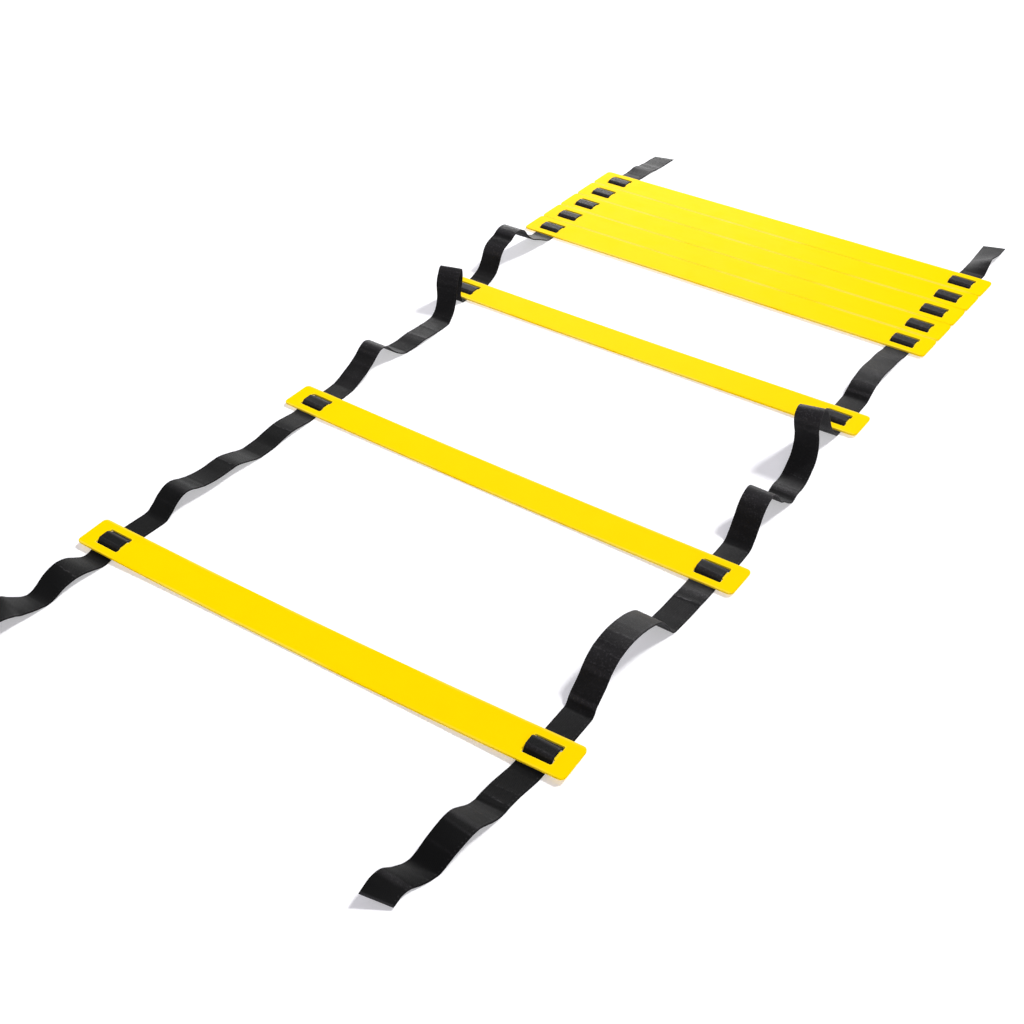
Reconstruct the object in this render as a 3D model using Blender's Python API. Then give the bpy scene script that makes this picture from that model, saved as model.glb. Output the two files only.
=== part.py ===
# Agility ladder: eight flat slotted rungs threaded on two lengths of webbing. It lies half open, with three
# rungs spaced out and five pushed together. Metres. +X along the rungs, +Y along the ladder, +Z up.

import math

import bmesh
import bpy
from mathutils import Matrix, Vector

# Rung: a moulded strip with a pair of slots near each end
rung_length = 0.500
rung_width = 0.035
rung_thickness = 0.002
corner_radius = 0.0045
rim_round = 0.0003
window_inset = 0.028  # rung end to the middle of its pair of slots
slot_width = 0.0055
slot_radius = 0.0012
bar_width = 0.0085  # the middle bar between the two slots, which the webbing goes over
corner_steps = 4
slot_steps = 2
bow_cuts = 16

# Webbing
web_width = 0.025
web_thickness = 0.0012
slot_side_clearance = 0.0004
seat_gap = 0.0003
web_step = 0.0068  # along the webbing, between two cross-sections
rise_steps = 5  # cross-sections up through one slot
crest_share = 0.9  # how much of the middle bar lies under the level top of the webbing

# Where each rung lies: its distance from the one before, its shift along X and its turn
first_pitch = 0.2464
second_pitch = 0.2546
third_pitch = 0.1634
second_shift = 0.0040
third_shift = -0.0065
stack_shift = -0.0074
first_turn = math.radians(2.2)
second_turn = math.radians(-0.22)
third_turn = math.radians(-0.49)
stack_turn = math.radians(-1.44)
stack_count = 5

# How far a rung's ends stand above its middle
first_bow = 0.0047
second_bow = 0.0022
third_bow = 0.0012

# How far the webbing arches clear of the middle bars, at its left edge in the right windows. The right edge and
# the left windows get a share of that.
first_arch = 0.0030
second_arch = 0.0020
third_arch = 0.0016
stack_arch = 0.0008
right_edge_share = 0.3
left_window_share = 0.2

# Loose ends, and the tallest fold in each stretch of webbing
right_tail_length = 0.158
left_tail_length = 0.174
right_far_length = 0.0755
left_far_length = 0.074
right_tail_fold = 0.0150
right_first_fold = 0.0410
right_second_fold = 0.0600
right_third_fold = 0.0100
right_far_fold = 0.0056
left_tail_fold = 0.0165
left_first_fold = 0.0163
left_second_fold = 0.0485
left_third_fold = 0.0385
left_far_fold = 0.0022

# Each row of a stretch: its place along the stretch, its height as a share of the tallest fold, its shift to the
# right as a share of the webbing's width, and where the fold is skewed, how far the right edge lies ahead of the
# left one and how far above it, as shares of that width.
right_tail_shares = (
    (0.00, 0.42, -0.63, 0.35, -0.45),
    (0.06, 0.50, -0.66, 0.32, -0.50),
    (0.13, 0.60, -0.66, 0.30, -0.58),
    (0.20, 0.58, -0.61, 0.28, -0.60),
    (0.26, 0.26, -0.51, 0.22, -0.26),
    (0.33, 0.03, -0.40, 0.08),
    (0.41, 0.69, -0.26, 0.00, -0.06),
    (0.49, 0.96, -0.20, 0.00, -0.13),
    (0.53, 1.00, -0.18, 0.00, -0.14),
    (0.57, 0.92, -0.17, 0.00, -0.12),
    (0.62, 0.60, -0.16, 0.00, -0.06),
    (0.67, 0.23, -0.17),
    (0.73, 0.00, -0.18),
    (0.84, 0.00, -0.16),
    (0.96, 0.00, -0.07),
)
right_first_shares = (
    (0.02, 0.00, 0.00),
    (0.14, 0.00, -0.04),
    (0.18, 0.20, -0.05),
    (0.23, 0.47, -0.02),
    (0.26, 0.68, 0.00),
    (0.30, 0.86, 0.02),
    (0.345, 0.96, 0.04),
    (0.40, 1.00, 0.05),
    (0.47, 0.96, 0.05),
    (0.545, 0.84, 0.04),
    (0.605, 0.66, 0.02),
    (0.65, 0.36, 0.00),
    (0.70, 0.03, -0.01),
    (0.77, 0.00, 0.01),
    (0.88, 0.02, 0.03),
    (0.94, 0.03, 0.04),
    (0.985, 0.00, 0.01),
)
right_second_shares = (
    (0.02, 0.00, 0.06),
    (0.10, 0.00, 0.08),
    (0.14, 0.105, 0.09),
    (0.17, 0.27, 0.11),
    (0.20, 0.45, 0.13),
    (0.23, 0.565, 0.16),
    (0.268, 0.61, 0.18),
    (0.30, 0.55, 0.20),
    (0.325, 0.415, 0.21),
    (0.352, 0.30, 0.21),
    (0.39, 0.21, 0.21),
    (0.425, 0.10, 0.21),
    (0.47, 0.00, 0.21),
    (0.515, 0.03, 0.21),
    (0.57, 0.00, 0.20),
    (0.61, 0.02, 0.20),
    (0.65, 0.105, 0.20),
    (0.685, 0.21, 0.20),
    (0.708, 0.365, 0.18, -0.04),
    (0.707, 0.56, 0.17, -0.06),
    (0.697, 0.74, 0.15, -0.04, 0.04),
    (0.695, 0.895, 0.15, 0.04, 0.09),
    (0.712, 0.985, 0.15, 0.12, 0.11),
    (0.74, 1.00, 0.14, 0.14, 0.09),
    (0.772, 0.925, 0.13, 0.12, 0.05),
    (0.80, 0.78, 0.12, 0.08),
    (0.833, 0.59, 0.10, 0.04),
    (0.865, 0.42, 0.08),
    (0.905, 0.245, 0.06),
    (0.945, 0.09, 0.03),
    (0.985, 0.00, 0.01),
)
right_third_shares = (
    (0.02, 0.00, 0.04),
    (0.17, 0.00, 0.04),
    (0.24, 0.50, 0.06),
    (0.31, 0.88, 0.06),
    (0.39, 0.98, 0.05),
    (0.47, 1.00, 0.03),
    (0.57, 0.83, 0.01),
    (0.67, 0.62, 0.00),
    (0.77, 0.45, -0.02),
    (0.86, 0.28, -0.02),
    (0.95, 0.05, -0.01),
)
right_far_shares = (
    (0.03, 0.00, 0.03),
    (0.16, 0.02, 0.06),
    (0.30, 0.60, 0.07, 0.00, 0.24),
    (0.43, 1.00, 0.07, 0.00, 0.42),
    (0.56, 0.80, 0.06, 0.00, 0.34),
    (0.70, 0.50, 0.05, 0.00, 0.24),
    (0.85, 0.38, 0.04, 0.00, 0.18),
    (1.00, 0.36, 0.03, 0.00, 0.14),
)
left_tail_shares = (
    (0.00, 0.00, -0.04),
    (0.07, 0.00, -0.04),
    (0.125, 0.03, -0.04),
    (0.185, 0.30, -0.04),
    (0.24, 0.66, -0.04),
    (0.30, 0.93, -0.04),
    (0.345, 1.00, -0.04),
    (0.40, 0.98, -0.04, 0.00, -0.15),
    (0.45, 0.86, -0.04, 0.00, -0.32),
    (0.48, 0.72, -0.04, 0.00, -0.42),
    (0.51, 0.52, -0.04, 0.00, -0.26),
    (0.55, 0.28, -0.04, 0.00, -0.12),
    (0.59, 0.09, -0.04),
    (0.63, 0.02, -0.04),
    (0.67, 0.14, -0.03, 0.00, -0.06),
    (0.72, 0.40, -0.02, 0.00, -0.16),
    (0.77, 0.54, -0.01, 0.00, -0.24),
    (0.815, 0.56, 0.00, 0.00, -0.26),
    (0.86, 0.45, 0.00, 0.00, -0.20),
    (0.90, 0.26, 0.01, 0.00, -0.08),
    (0.94, 0.06, 0.01),
    (0.98, 0.00, 0.01),
)
left_first_shares = (
    (0.02, 0.00, 0.04),
    (0.12, 0.00, 0.06),
    (0.163, 0.26, 0.07),
    (0.195, 0.62, 0.08),
    (0.23, 0.90, 0.09),
    (0.26, 1.00, 0.10),
    (0.29, 0.92, 0.10),
    (0.32, 0.75, 0.10),
    (0.375, 0.57, 0.11),
    (0.435, 0.50, 0.12),
    (0.495, 0.52, 0.12),
    (0.54, 0.50, 0.13),
    (0.595, 0.27, 0.13),
    (0.65, 0.03, 0.13),
    (0.73, 0.00, 0.12),
    (0.80, 0.14, 0.11),
    (0.865, 0.20, 0.10),
    (0.93, 0.10, 0.08),
    (0.98, 0.00, 0.05),
)
left_second_shares = (
    (0.02, 0.00, 0.07),
    (0.08, 0.00, 0.08),
    (0.12, 0.03, 0.08),
    (0.16, 0.09, 0.08),
    (0.20, 0.15, 0.08),
    (0.23, 0.22, 0.09),
    (0.26, 0.29, 0.09),
    (0.29, 0.38, 0.09),
    (0.323, 0.44, 0.10),
    (0.355, 0.40, 0.11),
    (0.38, 0.29, 0.13),
    (0.40, 0.19, 0.16),
    (0.425, 0.10, 0.20),
    (0.46, 0.02, 0.27),
    (0.52, 0.02, 0.37),
    (0.59, 0.05, 0.45),
    (0.68, 0.02, 0.49),
    (0.77, 0.00, 0.50),
    (0.808, 0.06, 0.47, -0.08),
    (0.834, 0.15, 0.44, -0.04),
    (0.853, 0.28, 0.41),
    (0.866, 0.42, 0.38, 0.08),
    (0.874, 0.58, 0.35, 0.14),
    (0.883, 0.73, 0.35, 0.20),
    (0.897, 0.87, 0.36, 0.24),
    (0.914, 0.97, 0.35, 0.26),
    (0.928, 0.97, 0.33, 0.24),
    (0.940, 0.86, 0.27, 0.20),
    (0.948, 0.68, 0.20, 0.16),
    (0.955, 0.45, 0.09, 0.10),
    (0.963, 0.20, -0.02, 0.04),
    (0.982, 0.00, -0.01),
)
left_third_shares = (
    (0.03, 0.00, 0.00),
    (0.095, 0.06, 0.00),
    (0.15, 0.14, 0.00),
    (0.19, 0.28, 0.00),
    (0.22, 0.45, 0.00),
    (0.25, 0.63, 0.00),
    (0.29, 0.75, 0.00),
    (0.34, 0.82, 0.01),
    (0.39, 0.87, 0.02),
    (0.44, 0.97, 0.03),
    (0.495, 1.00, 0.03),
    (0.54, 0.97, 0.03),
    (0.59, 0.86, 0.03),
    (0.63, 0.66, 0.03),
    (0.68, 0.48, 0.03),
    (0.73, 0.37, 0.04),
    (0.79, 0.27, 0.04),
    (0.86, 0.15, 0.04),
    (0.92, 0.05, 0.03),
    (0.97, 0.00, 0.01),
)
left_far_shares = (
    (0.05, 0.00, 0.06),
    (0.22, 0.45, 0.14),
    (0.38, 1.00, 0.19, 0.00, -0.06),
    (0.52, 0.50, 0.24),
    (0.66, 0.10, 0.27),
    (0.82, 0.25, 0.31, 0.10),
    (1.00, 0.35, 0.37, 0.20),
)

# Worked out from the sizes above
half_length = rung_length / 2
half_width = rung_width / 2
window_place = half_length - window_inset
slot_length = web_width + 2 * slot_side_clearance
slot_place = (bar_width + slot_width) / 2
slot_outer = bar_width / 2 + slot_width
web_rest = web_thickness / 2  # height of the webbing's middle plane where it lies on the ground
web_half = web_width / 2
seated_height = rung_thickness + seat_gap + web_rest  # the webbing's middle plane where it rests on a bar


def new_material(name, color, roughness):
    material = bpy.data.materials.new(name)
    material.use_nodes = True
    shader = material.node_tree.nodes["Principled BSDF"]
    shader.inputs["Base Color"].default_value = (*color, 1)
    shader.inputs["Roughness"].default_value = roughness
    return material


def new_object(name, bm, material, parent):
    mesh = bpy.data.meshes.new(name)
    bmesh.ops.recalc_face_normals(bm, faces=bm.faces)
    bm.to_mesh(mesh)
    bm.free()
    mesh.materials.append(material)
    mesh.shade_smooth()
    mesh.set_sharp_from_angle(angle=math.radians(35))
    thing = bpy.data.objects.new(name, mesh)
    thing.parent = parent
    bpy.context.collection.objects.link(thing)
    return thing


def new_empty(name, parent, location, turn):
    empty = bpy.data.objects.new(name, None)
    empty.parent = parent
    empty.location = location
    empty.rotation_euler = (0, 0, turn)
    bpy.context.collection.objects.link(empty)
    return empty


def add_rounded_loop(bm, length, width, radius, steps, centre):
    """A closed loop of edges round a rectangle with round corners."""
    verts = []
    for corner in range(4):
        side_x = (1, -1, -1, 1)[corner]
        side_y = (1, 1, -1, -1)[corner]
        pivot_x = centre[0] + side_x * (length / 2 - radius)
        pivot_y = centre[1] + side_y * (width / 2 - radius)
        for step in range(steps + 1):
            angle = math.radians(90) * (corner + step / steps)
            x = pivot_x + radius * math.cos(angle)
            y = pivot_y + radius * math.sin(angle)
            verts.append(bm.verts.new((x, y, 0)))
    for i, vert in enumerate(verts):
        bm.edges.new((vert, verts[(i + 1) % len(verts)]))


def bow_rise(bow, x):
    """Height of the bowed rung at x above its middle."""
    return bow * (x / half_length) ** 2


def make_rung(name, bow, material, parent, location, turn):
    """A flat strip with a pair of slots at each end, bent up towards its ends."""
    bm = bmesh.new()
    add_rounded_loop(bm, rung_length, rung_width, corner_radius, corner_steps, (0, 0))
    for end in (-1, 1):
        for side in (-1, 1):
            middle = (end * window_place, side * slot_place)
            add_rounded_loop(bm, slot_length, slot_width, slot_radius, slot_steps, middle)
    bmesh.ops.triangle_fill(bm, edges=bm.edges[:], use_beauty=True, use_dissolve=False)
    grown = bmesh.ops.extrude_face_region(bm, geom=bm.faces[:])["geom"]
    lifted = [item for item in grown if isinstance(item, bmesh.types.BMVert)]
    bmesh.ops.translate(bm, verts=lifted, vec=(0, 0, rung_thickness))
    bmesh.ops.recalc_face_normals(bm, faces=bm.faces)
    rim = [edge for edge in bm.edges if edge.calc_face_angle(0) > math.radians(60)]
    bmesh.ops.bevel(bm, geom=rim, offset=rim_round, segments=1, profile=0.5, affect="EDGES")
    if bow > 0:
        for cut in range(1, bow_cuts):
            place = (-half_length + rung_length * cut / bow_cuts, 0, 0)
            everything = bm.verts[:] + bm.edges[:] + bm.faces[:]
            bmesh.ops.bisect_plane(bm, geom=everything, plane_co=place, plane_no=(1, 0, 0))
        for vert in bm.verts:
            vert.co.z += bow_rise(bow, vert.co.x)
    rung = new_object(name, bm, material, parent)
    rung.location = location
    rung.rotation_euler = (0, 0, turn)
    return rung


def middle_height(bow):
    """Height of a rung's middle: just off the ground, or held up by the webbing under its ends."""
    over_web = web_thickness + 2 * seat_gap - bow_rise(bow, window_place - web_half)
    return max(seat_gap, over_web)


def smooth_step(share):
    return share * share * (3 - 2 * share)


def window_pairs(place, side, bow, arch):
    """Left and right edge points of the webbing where it comes up through one slot and down the other."""
    low = -seat_gap - web_rest
    level = crest_share * bar_width / 2
    if side < 0:
        arch *= left_window_share
    climb = []
    for step in range(rise_steps + 1):
        share = step / rise_steps
        climb.append((-slot_outer + (slot_outer - level) * share, smooth_step(share)))
    climb += [(-y, rise) for y, rise in reversed(climb)]
    pairs = []
    for y, rise in climb:
        pair = []
        for edge, share in ((-web_half, 1), (web_half, right_edge_share)):
            x = side * window_place + edge
            high = seated_height + arch * share
            pair.append(place @ Vector((x, y, low + (high - low) * rise + bow_rise(bow, x))))
        pairs.append(pair)
    return pairs


def curve_point(rows, i, share):
    """Catmull-Rom through rows[i] and rows[i + 1]."""
    before = rows[max(i - 1, 0)]
    a = rows[i]
    b = rows[i + 1]
    after = rows[min(i + 2, len(rows) - 1)]
    point = []
    for p, q, r, s in zip(before, a, b, after):
        cubic = (3 * q - p - 3 * r + s) * share**3
        square = (2 * p - 5 * q + 4 * r - s) * share**2
        point.append(q + (cubic + square + (r - p) * share) / 2)
    return point


def smooth_pairs(rows):
    """Edge pairs along a smooth curve through rows of six numbers, which never dips into the ground."""
    pairs = []
    for i in range(1, len(rows) - 2):
        steps = max(1, math.ceil(math.dist(rows[i][:3], rows[i + 1][:3]) / web_step))
        for step in range(steps):
            point = curve_point(rows, i, step / steps)
            left = Vector(point[:3])
            right = Vector(point[3:])
            left.z = max(left.z, web_rest)
            right.z = max(right.z, web_rest)
            pairs.append([left, right])
    return pairs


def stretch_rows(shares, fold, start, end):
    """Rows of left and right edge points for one stretch, from its shares and the two points it runs between."""
    rows = []
    for entry in shares:
        run, rise, shift, ahead, above = (*entry, 0, 0)[:5]
        middle = start.lerp(end, run)
        x = middle.x + shift * web_width
        z = web_rest + rise * fold
        row = []
        for edge in (-web_half, web_half):
            row += [x + edge, middle.y + edge * ahead, z + edge * above]
        rows.append(row)
    return rows


def flat_row(pair):
    return [*pair[0], *pair[1]]


def edge_point(place, side, towards):
    """The point on the ground under a rung's long edge, in line with its slots."""
    point = place @ Vector((side * window_place, towards * half_width, 0))
    return Vector((point.x, point.y, 0))


def make_strap(name, side, spots, stretches, material, parent):
    """One length of webbing, woven through every rung and folded between them."""
    windows = [window_pairs(spot["place"], side, spot["bow"], spot["arch"]) for spot in spots]
    pairs = []
    for i in range(len(spots) + 1):
        shares, fold, loose = stretches.get(i, ((), 0, 0))
        rows = []
        if i > 0:
            start = edge_point(spots[i - 1]["place"], side, 1)
            rows = [flat_row(pair) for pair in windows[i - 1][-2:]]
        if i < len(spots):
            end = edge_point(spots[i]["place"], side, -1)
        if i == 0:
            start = end - Vector((0, loose, 0))
        if i == len(spots):
            end = start + Vector((0, loose, 0))
        rows += stretch_rows(shares, fold, start, end)
        if i == 0:
            rows.insert(0, rows[0])
        if i < len(spots):
            rows += [flat_row(pair) for pair in windows[i][:2]]
        else:
            rows += [rows[-1], rows[-1]]
        pairs += smooth_pairs(rows)
        if i < len(spots):
            pairs += windows[i][:-1]
    return sweep_webbing(name, pairs, material, parent)


def sweep_webbing(name, pairs, material, parent):
    """A closed ribbon of the webbing's thickness along the edge pairs."""
    bm = bmesh.new()
    rings = []
    for i, (left, right) in enumerate(pairs):
        before = pairs[max(i - 1, 0)]
        after = pairs[min(i + 1, len(pairs) - 1)]
        along = (after[0] + after[1] - before[0] - before[1]).normalized()
        across = (right - left).normalized()
        up = across.cross(along).normalized() * web_rest
        corners = (left - up, right - up, right + up, left + up)
        rings.append([bm.verts.new(corner) for corner in corners])
    for ring, following in zip(rings, rings[1:]):
        for i in range(4):
            j = (i + 1) % 4
            bm.faces.new((ring[i], ring[j], following[j], following[i]))
    bm.faces.new(rings[0])
    bm.faces.new(rings[-1])
    return new_object(name, bm, material, parent)


def lay_out_rungs():
    """Where each rung lies, nearest first, with its bow and the arch of the webbing in its windows."""
    spaced = (
        (Vector((0, 0, 0)), first_turn, first_bow, first_arch),
        (Vector((second_shift, first_pitch, 0)), second_turn, second_bow, second_arch),
        (Vector((third_shift, first_pitch + second_pitch, 0)), third_turn, third_bow, third_arch),
    )
    spots = []
    for location, turn, bow, arch in spaced:
        location.z = middle_height(bow)
        spots.append({"location": location, "turn": turn, "bow": bow, "arch": arch})
    start = Vector((stack_shift, first_pitch + second_pitch + third_pitch, middle_height(0)))
    along = Matrix.Rotation(stack_turn, 4, "Z") @ Vector((0, rung_width + seat_gap, 0))
    for i in range(stack_count):
        spots.append({"location": start + i * along, "turn": stack_turn, "bow": 0, "arch": stack_arch})
    for spot in spots:
        spot["place"] = Matrix.Translation(spot["location"]) @ Matrix.Rotation(spot["turn"], 4, "Z")
    return spots


def middle_of_box(things):
    """The middle of the box round all the pieces, seen from above."""
    bpy.context.view_layer.update()
    points = [thing.matrix_world @ vert.co for thing in things for vert in thing.data.vertices]
    spans = [(min(p[axis] for p in points), max(p[axis] for p in points)) for axis in (0, 1)]
    return [(low + high) / 2 for low, high in spans]


def build_ladder():
    for thing in list(bpy.data.objects):
        bpy.data.objects.remove(thing)
    yellow = new_material("rung_plastic", (0.98, 0.76, 0.0), 0.38)
    black = new_material("webbing", (0.012, 0.012, 0.013), 0.8)
    ladder = new_empty("ladder", None, (0, 0, 0), 0)
    spots = lay_out_rungs()
    things = []
    for number, spot in enumerate(spots, 1):
        name = f"rung_{number}"
        things.append(make_rung(name, spot["bow"], yellow, ladder, spot["location"], spot["turn"]))
    right = {
        0: (right_tail_shares, right_tail_fold, right_tail_length),
        1: (right_first_shares, right_first_fold, 0),
        2: (right_second_shares, right_second_fold, 0),
        3: (right_third_shares, right_third_fold, 0),
        len(spots): (right_far_shares, right_far_fold, right_far_length),
    }
    left = {
        0: (left_tail_shares, left_tail_fold, left_tail_length),
        1: (left_first_shares, left_first_fold, 0),
        2: (left_second_shares, left_second_fold, 0),
        3: (left_third_shares, left_third_fold, 0),
        len(spots): (left_far_shares, left_far_fold, left_far_length),
    }
    things.append(make_strap("right_strap", 1, spots, right, black, ladder))
    things.append(make_strap("left_strap", -1, spots, left, black, ladder))
    middle = middle_of_box(things)
    ladder.location = (-middle[0], -middle[1], 0)
    bpy.context.view_layer.update()
    print("shift of the first rung's middle:", -middle[0], -middle[1])


build_ladder()
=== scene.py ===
import math

import bmesh
import bpy
from mathutils import Matrix, Vector, noise


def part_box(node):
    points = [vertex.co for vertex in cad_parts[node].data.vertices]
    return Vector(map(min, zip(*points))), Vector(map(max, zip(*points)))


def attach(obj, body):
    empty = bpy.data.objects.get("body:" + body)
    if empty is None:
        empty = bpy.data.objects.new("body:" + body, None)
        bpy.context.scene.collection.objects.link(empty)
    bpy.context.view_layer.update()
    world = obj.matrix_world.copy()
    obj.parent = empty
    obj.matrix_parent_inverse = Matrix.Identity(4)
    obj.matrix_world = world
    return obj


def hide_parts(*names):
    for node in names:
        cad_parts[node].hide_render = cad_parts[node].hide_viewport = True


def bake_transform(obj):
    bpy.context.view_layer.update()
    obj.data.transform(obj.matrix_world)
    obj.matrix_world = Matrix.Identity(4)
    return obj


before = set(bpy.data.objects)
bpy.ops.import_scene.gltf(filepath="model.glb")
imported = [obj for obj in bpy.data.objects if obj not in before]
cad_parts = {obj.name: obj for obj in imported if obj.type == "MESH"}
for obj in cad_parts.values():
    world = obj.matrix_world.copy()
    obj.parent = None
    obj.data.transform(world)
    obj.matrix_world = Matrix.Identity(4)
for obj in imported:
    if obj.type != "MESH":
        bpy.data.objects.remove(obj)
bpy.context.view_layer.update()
scene = bpy.context.scene


# Camera, from where the photo was taken

cameraSettings = {
    "fromFirstRung": (0.60701, -0.50867),  # along X and Y, from the nearest rung's middle
    "height": 0.75645,
    "azimuth": -37.91,  # degrees, 0 looks along +Y
    "down": 39.34,
    "roll": -2.88,
    "lens": 47.55,
    "sensor": 36,
}


def addCamera(settings):
    azimuth, down, roll = (math.radians(settings[key]) for key in ("azimuth", "down", "roll"))
    flat = math.cos(down)
    ahead = Vector((math.sin(azimuth) * flat, math.cos(azimuth) * flat, -math.sin(down)))
    level = Vector((math.cos(azimuth), -math.sin(azimuth), 0))
    upright = level.cross(ahead)
    right = math.cos(roll) * level + math.sin(roll) * upright
    up = math.cos(roll) * upright - math.sin(roll) * level
    data = bpy.data.cameras.new("camera")
    data.lens = settings["lens"]
    data.sensor_width = settings["sensor"]
    camera = bpy.data.objects.new("camera", data)
    turn = Matrix((right, up, -ahead)).transposed()
    low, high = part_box("rung_1")
    place = (low + high) / 2 + Vector((*settings["fromFirstRung"], 0))
    place.z = settings["height"]
    camera.matrix_world = Matrix.Translation(place) @ turn.to_4x4()
    scene.collection.objects.link(camera)
    scene.camera = camera


addCamera(cameraSettings)
print("camera placed")


# Small helpers for node trees

def newNode(tree, kind, place, **settings):
    node = tree.nodes.new(kind)
    node.location = place
    for key, value in settings.items():
        setattr(node, key, value)
    return node


def setInput(tree, socket, value):
    # value is another socket, which is linked, or a constant
    if isinstance(value, bpy.types.NodeSocket):
        tree.links.new(value, socket)
    else:
        socket.default_value = value


def newMaterial(name):
    material = bpy.data.materials.new(name)
    material.use_nodes = True
    tree = material.node_tree
    tree.nodes.clear()
    output = newNode(tree, "ShaderNodeOutputMaterial", (900, 0))
    return material, tree, output


def addShader(tree, output, values):
    shader = newNode(tree, "ShaderNodeBsdfPrincipled", (600, 0))
    for label, value in values.items():
        setInput(tree, shader.inputs[label], value)
    tree.links.new(shader.outputs[0], output.inputs["Surface"])


def newGroup(name, inputs, outputs):
    # inputs are label: default, a number or a vector, and every output is a number
    group = bpy.data.node_groups.new(name, "ShaderNodeTree")
    for label, default in inputs.items():
        kind = "NodeSocketFloat" if isinstance(default, float) else "NodeSocketVector"
        socket = group.interface.new_socket(label, in_out="INPUT", socket_type=kind)
        socket.default_value = default
    for label in outputs:
        group.interface.new_socket(label, in_out="OUTPUT", socket_type="NodeSocketFloat")
    entry = newNode(group, "NodeGroupInput", (-900, 0))
    result = newNode(group, "NodeGroupOutput", (900, 0))
    return group, entry, result


def putOut(group, result, **values):
    for label, value in values.items():
        group.links.new(value, result.inputs[label])


def placeGroup(tree, group, place, **values):
    node = newNode(tree, "ShaderNodeGroup", place)
    node.node_tree = group
    for label, value in values.items():
        node.inputs[label].default_value = value
    return node


def mathNode(tree, operation, place, first, second=None, third=None, clamp=False):
    node = newNode(tree, "ShaderNodeMath", place, operation=operation, use_clamp=clamp)
    for socket, value in zip(node.inputs, (first, second, third)):
        if value is not None:
            setInput(tree, socket, value)
    return node.outputs[0]


def addShare(tree, place, mask, share, base, clamp=False):
    # the base and this share of a mask on top
    return mathNode(tree, "MULTIPLY_ADD", place, mask, share, base, clamp)


def mixColor(tree, place, factor, first, second):
    node = newNode(tree, "ShaderNodeMix", place, data_type="RGBA")
    for socket, value in zip((node.inputs[0], node.inputs[6], node.inputs[7]), (factor, first, second)):
        setInput(tree, socket, value)
    return node.outputs[2]


def ramp(tree, place, value, span):
    # 0 before the span, 1 after it, smooth between
    node = newNode(tree, "ShaderNodeMapRange", place, interpolation_type="SMOOTHSTEP")
    tree.links.new(value, node.inputs["Value"])
    node.inputs["From Min"].default_value, node.inputs["From Max"].default_value = span
    return node.outputs["Result"]


def fadeOff(tree, place, distance, width):
    # 1 at no distance, 0 from this width on
    share = mathNode(tree, "DIVIDE", place, distance, width)
    return mathNode(tree, "SUBTRACT", (place[0] + 150, place[1]), 1, share, clamp=True)


def noiseNode(tree, place, vector, scale, detail=2):
    node = newNode(tree, "ShaderNodeTexNoise", place)
    node.inputs["Detail"].default_value = detail
    setInput(tree, node.inputs["Scale"], scale)
    tree.links.new(vector, node.inputs["Vector"])
    return node.outputs["Fac"]


def bumpNode(tree, height, strength, distance):
    bump = newNode(tree, "ShaderNodeBump", (300, -300))
    bump.inputs["Strength"].default_value = strength
    bump.inputs["Distance"].default_value = distance
    tree.links.new(height, bump.inputs["Height"])
    return bump.outputs[0]


def seenMask(tree, place):
    # 1 where the camera sees this directly, in a reflection or through something clear
    x, y = place
    rays = newNode(tree, "ShaderNodeLightPath", place).outputs
    seen = mathNode(tree, "MAXIMUM", (x + 150, y), rays["Is Camera Ray"], rays["Is Glossy Ray"])
    return mathNode(tree, "MAXIMUM", (x + 300, y), seen, rays["Is Transmission Ray"])


# Floor, light and background

floorSettings = {
    "size": 14,
    "color": (0.88, 0.88, 0.88, 1),
    "glow": 0.18,  # what the camera sees on top of the lit floor
}

lightSettings = {
    # degrees: tilt from straight above, heading from +Y towards +X, angle for how soft its shadows are
    "sun": {"tilt": 34, "heading": 36, "strength": 2.25, "angle": 8},
    "frontFill": {"tilt": 65, "heading": 142, "strength": 0.7, "angle": 40},
    "farBox": {"place": (-1.3, 2.2, 0.7), "aim": (-0.1, 0.3, 0), "size": 1.2, "power": 68},
    "sky": 0.29,
    "skyTint": (0.86, 0.81, 1.0, 1),
}


def makeFloor(settings):
    half = settings["size"] / 2
    mesh = bpy.data.meshes.new("floor")
    corners = [(-half, -half, 0), (half, -half, 0), (half, half, 0), (-half, half, 0)]
    mesh.from_pydata(corners, [], [(0, 1, 2, 3)])
    floor = bpy.data.objects.new("floor", mesh)
    scene.collection.objects.link(floor)
    material, tree, output = newMaterial("studioFloor")
    diffuse = newNode(tree, "ShaderNodeBsdfDiffuse", (0, 0))
    diffuse.inputs["Color"].default_value = settings["color"]
    glow = newNode(tree, "ShaderNodeEmission", (200, -200))
    strength = mathNode(tree, "MULTIPLY", (0, -200), seenMask(tree, (-500, -200)), settings["glow"])
    tree.links.new(strength, glow.inputs["Strength"])
    both = newNode(tree, "ShaderNodeAddShader", (500, 0))
    tree.links.new(diffuse.outputs[0], both.inputs[0])
    tree.links.new(glow.outputs[0], both.inputs[1])
    tree.links.new(both.outputs[0], output.inputs["Surface"])
    mesh.materials.append(material)


def makeSun(name, settings, shadows):
    tilt, heading = math.radians(settings["tilt"]), math.radians(settings["heading"])
    data = bpy.data.lights.new(name, "SUN")
    data.energy = settings["strength"]
    data.angle = math.radians(settings["angle"])
    data.use_shadow = shadows
    sun = bpy.data.objects.new(name, data)
    flat = math.sin(tilt)
    towards = Vector((math.sin(heading) * flat, math.cos(heading) * flat, math.cos(tilt)))
    sun.rotation_euler = towards.to_track_quat("Z", "Y").to_euler()
    scene.collection.objects.link(sun)


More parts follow.
